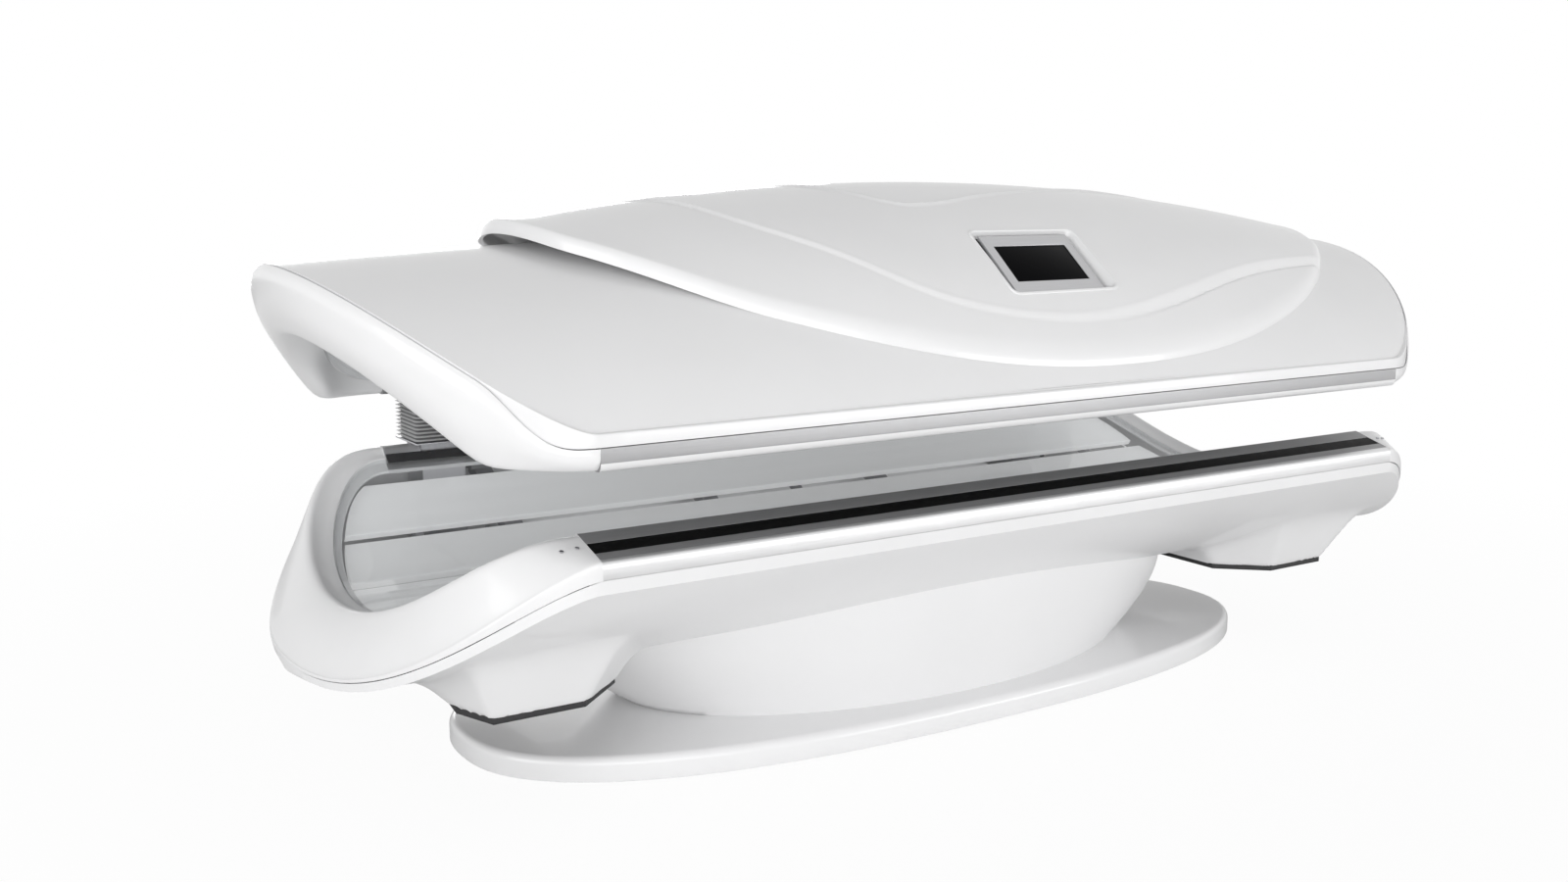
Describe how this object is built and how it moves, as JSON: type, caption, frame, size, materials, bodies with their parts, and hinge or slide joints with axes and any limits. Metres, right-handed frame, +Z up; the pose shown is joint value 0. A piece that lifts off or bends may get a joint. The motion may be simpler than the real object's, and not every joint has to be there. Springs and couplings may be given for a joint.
{
  "type": "light therapy bed",
  "caption": "Lie-down light therapy bed: trough-shaped lower half on a boat-shaped pedestal, arched canopy that rises on two telescopic columns, hood with a touch screen.",
  "frame": {"origin": "on the floor, under the middle of the bounding box", "axes": "+X along the length (the left end in the picture is -X), +Z up, the front with the screen is -Y"},
  "size_m": [1.94, 0.868, 0.8056],
  "materials": {
    "white_gloss": "gloss white moulded plastic",
    "rail_metal": "satin anodised",
    "steel_frame": "matt grey paint",
    "column_metal": "satin",
    "screw_metal": "machined",
    "motor_metal": "matt",
    "supply_metal": "folded sheet",
    "clear_acrylic": "clear cast acrylic",
    "panel": "light grey panel face",
    "rubber_black": "matt rubber",
    "black_plastic": "matt black",
    "red_rocker": "gloss red",
    "bellows_grey": "pleated coated fabric",
    "bezel_metal": "brushed",
    "display_glass": "gloss black",
    "driver_metal": "folded sheet"
  },
  "bodies": {
    "base": {"floor_pads": "rubber_black", "base_plate": "white_gloss", "pedestal_shell": "white_gloss", "pedestal_posts": "steel_frame", "bed_frame": "steel_frame", "lower_shell": "white_gloss", "bed_cap_left": "white_gloss", "bed_cap_right": "white_gloss", "bed_rail_front": "rail_metal", "bed_rail_back": "rail_metal", "rail_strip_front": "black_plastic", "rail_strip_back": "black_plastic", "bed_acrylic": "clear_acrylic", "bed_seals": "rubber_black", "bed_light_panels": "panel", "foot_pad_left": "rubber_black", "foot_pad_right": "rubber_black", "power_supplies": "supply_metal", "control_box": "black_plastic", "bed_fan_frame_left": "black_plastic", "bed_fan_frame_right": "black_plastic", "power_inlet": "black_plastic", "column_outer_left": "column_metal", "column_outer_right": "column_metal", "lift_motor_left": "motor_metal", "lift_motor_right": "motor_metal", "bellows_left": "bellows_grey", "bellows_right": "bellows_grey", "cable_gland": "black_plastic", "lift_cable": "black_plastic", "cap_screws": "screw_metal"},
    "canopy": {"column_inner_left": "column_metal", "column_inner_right": "column_metal", "column_head_left": "steel_frame", "column_head_right": "steel_frame", "canopy_shell": "white_gloss", "canopy_cap_left": "white_gloss", "canopy_cap_right": "white_gloss", "canopy_rail_front": "rail_metal", "canopy_rail_back": "rail_metal", "canopy_frame": "steel_frame", "canopy_acrylic": "clear_acrylic", "canopy_light_panels": "panel", "canopy_fan_frame_left": "black_plastic", "canopy_fan_frame_right": "black_plastic", "hood": "white_gloss", "screen_recess": "white_gloss", "screen_bezel": "bezel_metal", "display_panel": "display_glass", "canopy_drivers": "driver_metal"},
    "stage_left": {"column_middle_left": "column_metal"},
    "stage_right": {"column_middle_right": "column_metal"},
    "screw_left": {"lift_screw_left": "screw_metal"},
    "screw_right": {"lift_screw_right": "screw_metal"},
    "bed_rotor_left": {"bed_fan_rotor_left": "black_plastic"},
    "bed_rotor_right": {"bed_fan_rotor_right": "black_plastic"},
    "canopy_rotor_left": {"canopy_fan_rotor_left": "black_plastic"},
    "canopy_rotor_right": {"canopy_fan_rotor_right": "black_plastic"},
    "switch": {"main_switch": "red_rocker"}
  },
  "joints": [
    {"name": "canopy_lift", "type": "slide", "parent": "base", "child": "canopy", "axis": [0, 0, 1], "range_m": [-0.045, 0.255], "deforming": ["bellows_left", "bellows_right", "lift_cable"]},
    {"name": "stage_lift_left", "type": "slide", "parent": "base", "child": "stage_left", "axis": [0, 0, 1], "range_m": [-0.023, 0.128]},
    {"name": "stage_lift_right", "type": "slide", "parent": "base", "child": "stage_right", "axis": [0, 0, 1], "range_m": [-0.023, 0.128]},
    {"name": "screw_turn_left", "type": "hinge", "parent": "base", "child": "screw_left", "pos_m": [-0.618, 0.382, 0.3], "axis": [0, 0, 1], "range_deg": [-406, 2296]},
    {"name": "screw_turn_right", "type": "hinge", "parent": "base", "child": "screw_right", "pos_m": [0.618, 0.382, 0.3], "axis": [0, 0, 1], "range_deg": [-406, 2296]},
    {"name": "bed_fan_left", "type": "hinge", "parent": "base", "child": "bed_rotor_left", "pos_m": [-0.41, 0, 0.19], "axis": [0, 0, 1], "continuous": true},
    {"name": "bed_fan_right", "type": "hinge", "parent": "base", "child": "bed_rotor_right", "pos_m": [0.41, 0, 0.19], "axis": [0, 0, 1], "continuous": true},
    {"name": "canopy_fan_left", "type": "hinge", "parent": "canopy", "child": "canopy_rotor_left", "pos_m": [-0.26, 0, 0.745], "axis": [0, 0, 1], "continuous": true},
    {"name": "canopy_fan_right", "type": "hinge", "parent": "canopy", "child": "canopy_rotor_right", "pos_m": [0.26, 0, 0.745], "axis": [0, 0, 1], "continuous": true},
    {"name": "main_switch_rock", "type": "hinge", "parent": "base", "child": "switch", "pos_m": [0.704, 0.428, 0.25], "axis": [1, 0, 0], "range_deg": [0, 14]}
  ],
  "couplings": [
    {"joint": "stage_lift_left", "follows": "canopy_lift", "ratio": 0.5},
    {"joint": "stage_lift_right", "follows": "canopy_lift", "ratio": 0.5},
    {"joint": "screw_turn_left", "follows": "canopy_lift", "rad_per_m": 157.08},
    {"joint": "screw_turn_right", "follows": "canopy_lift", "rad_per_m": 157.08}
  ]
}
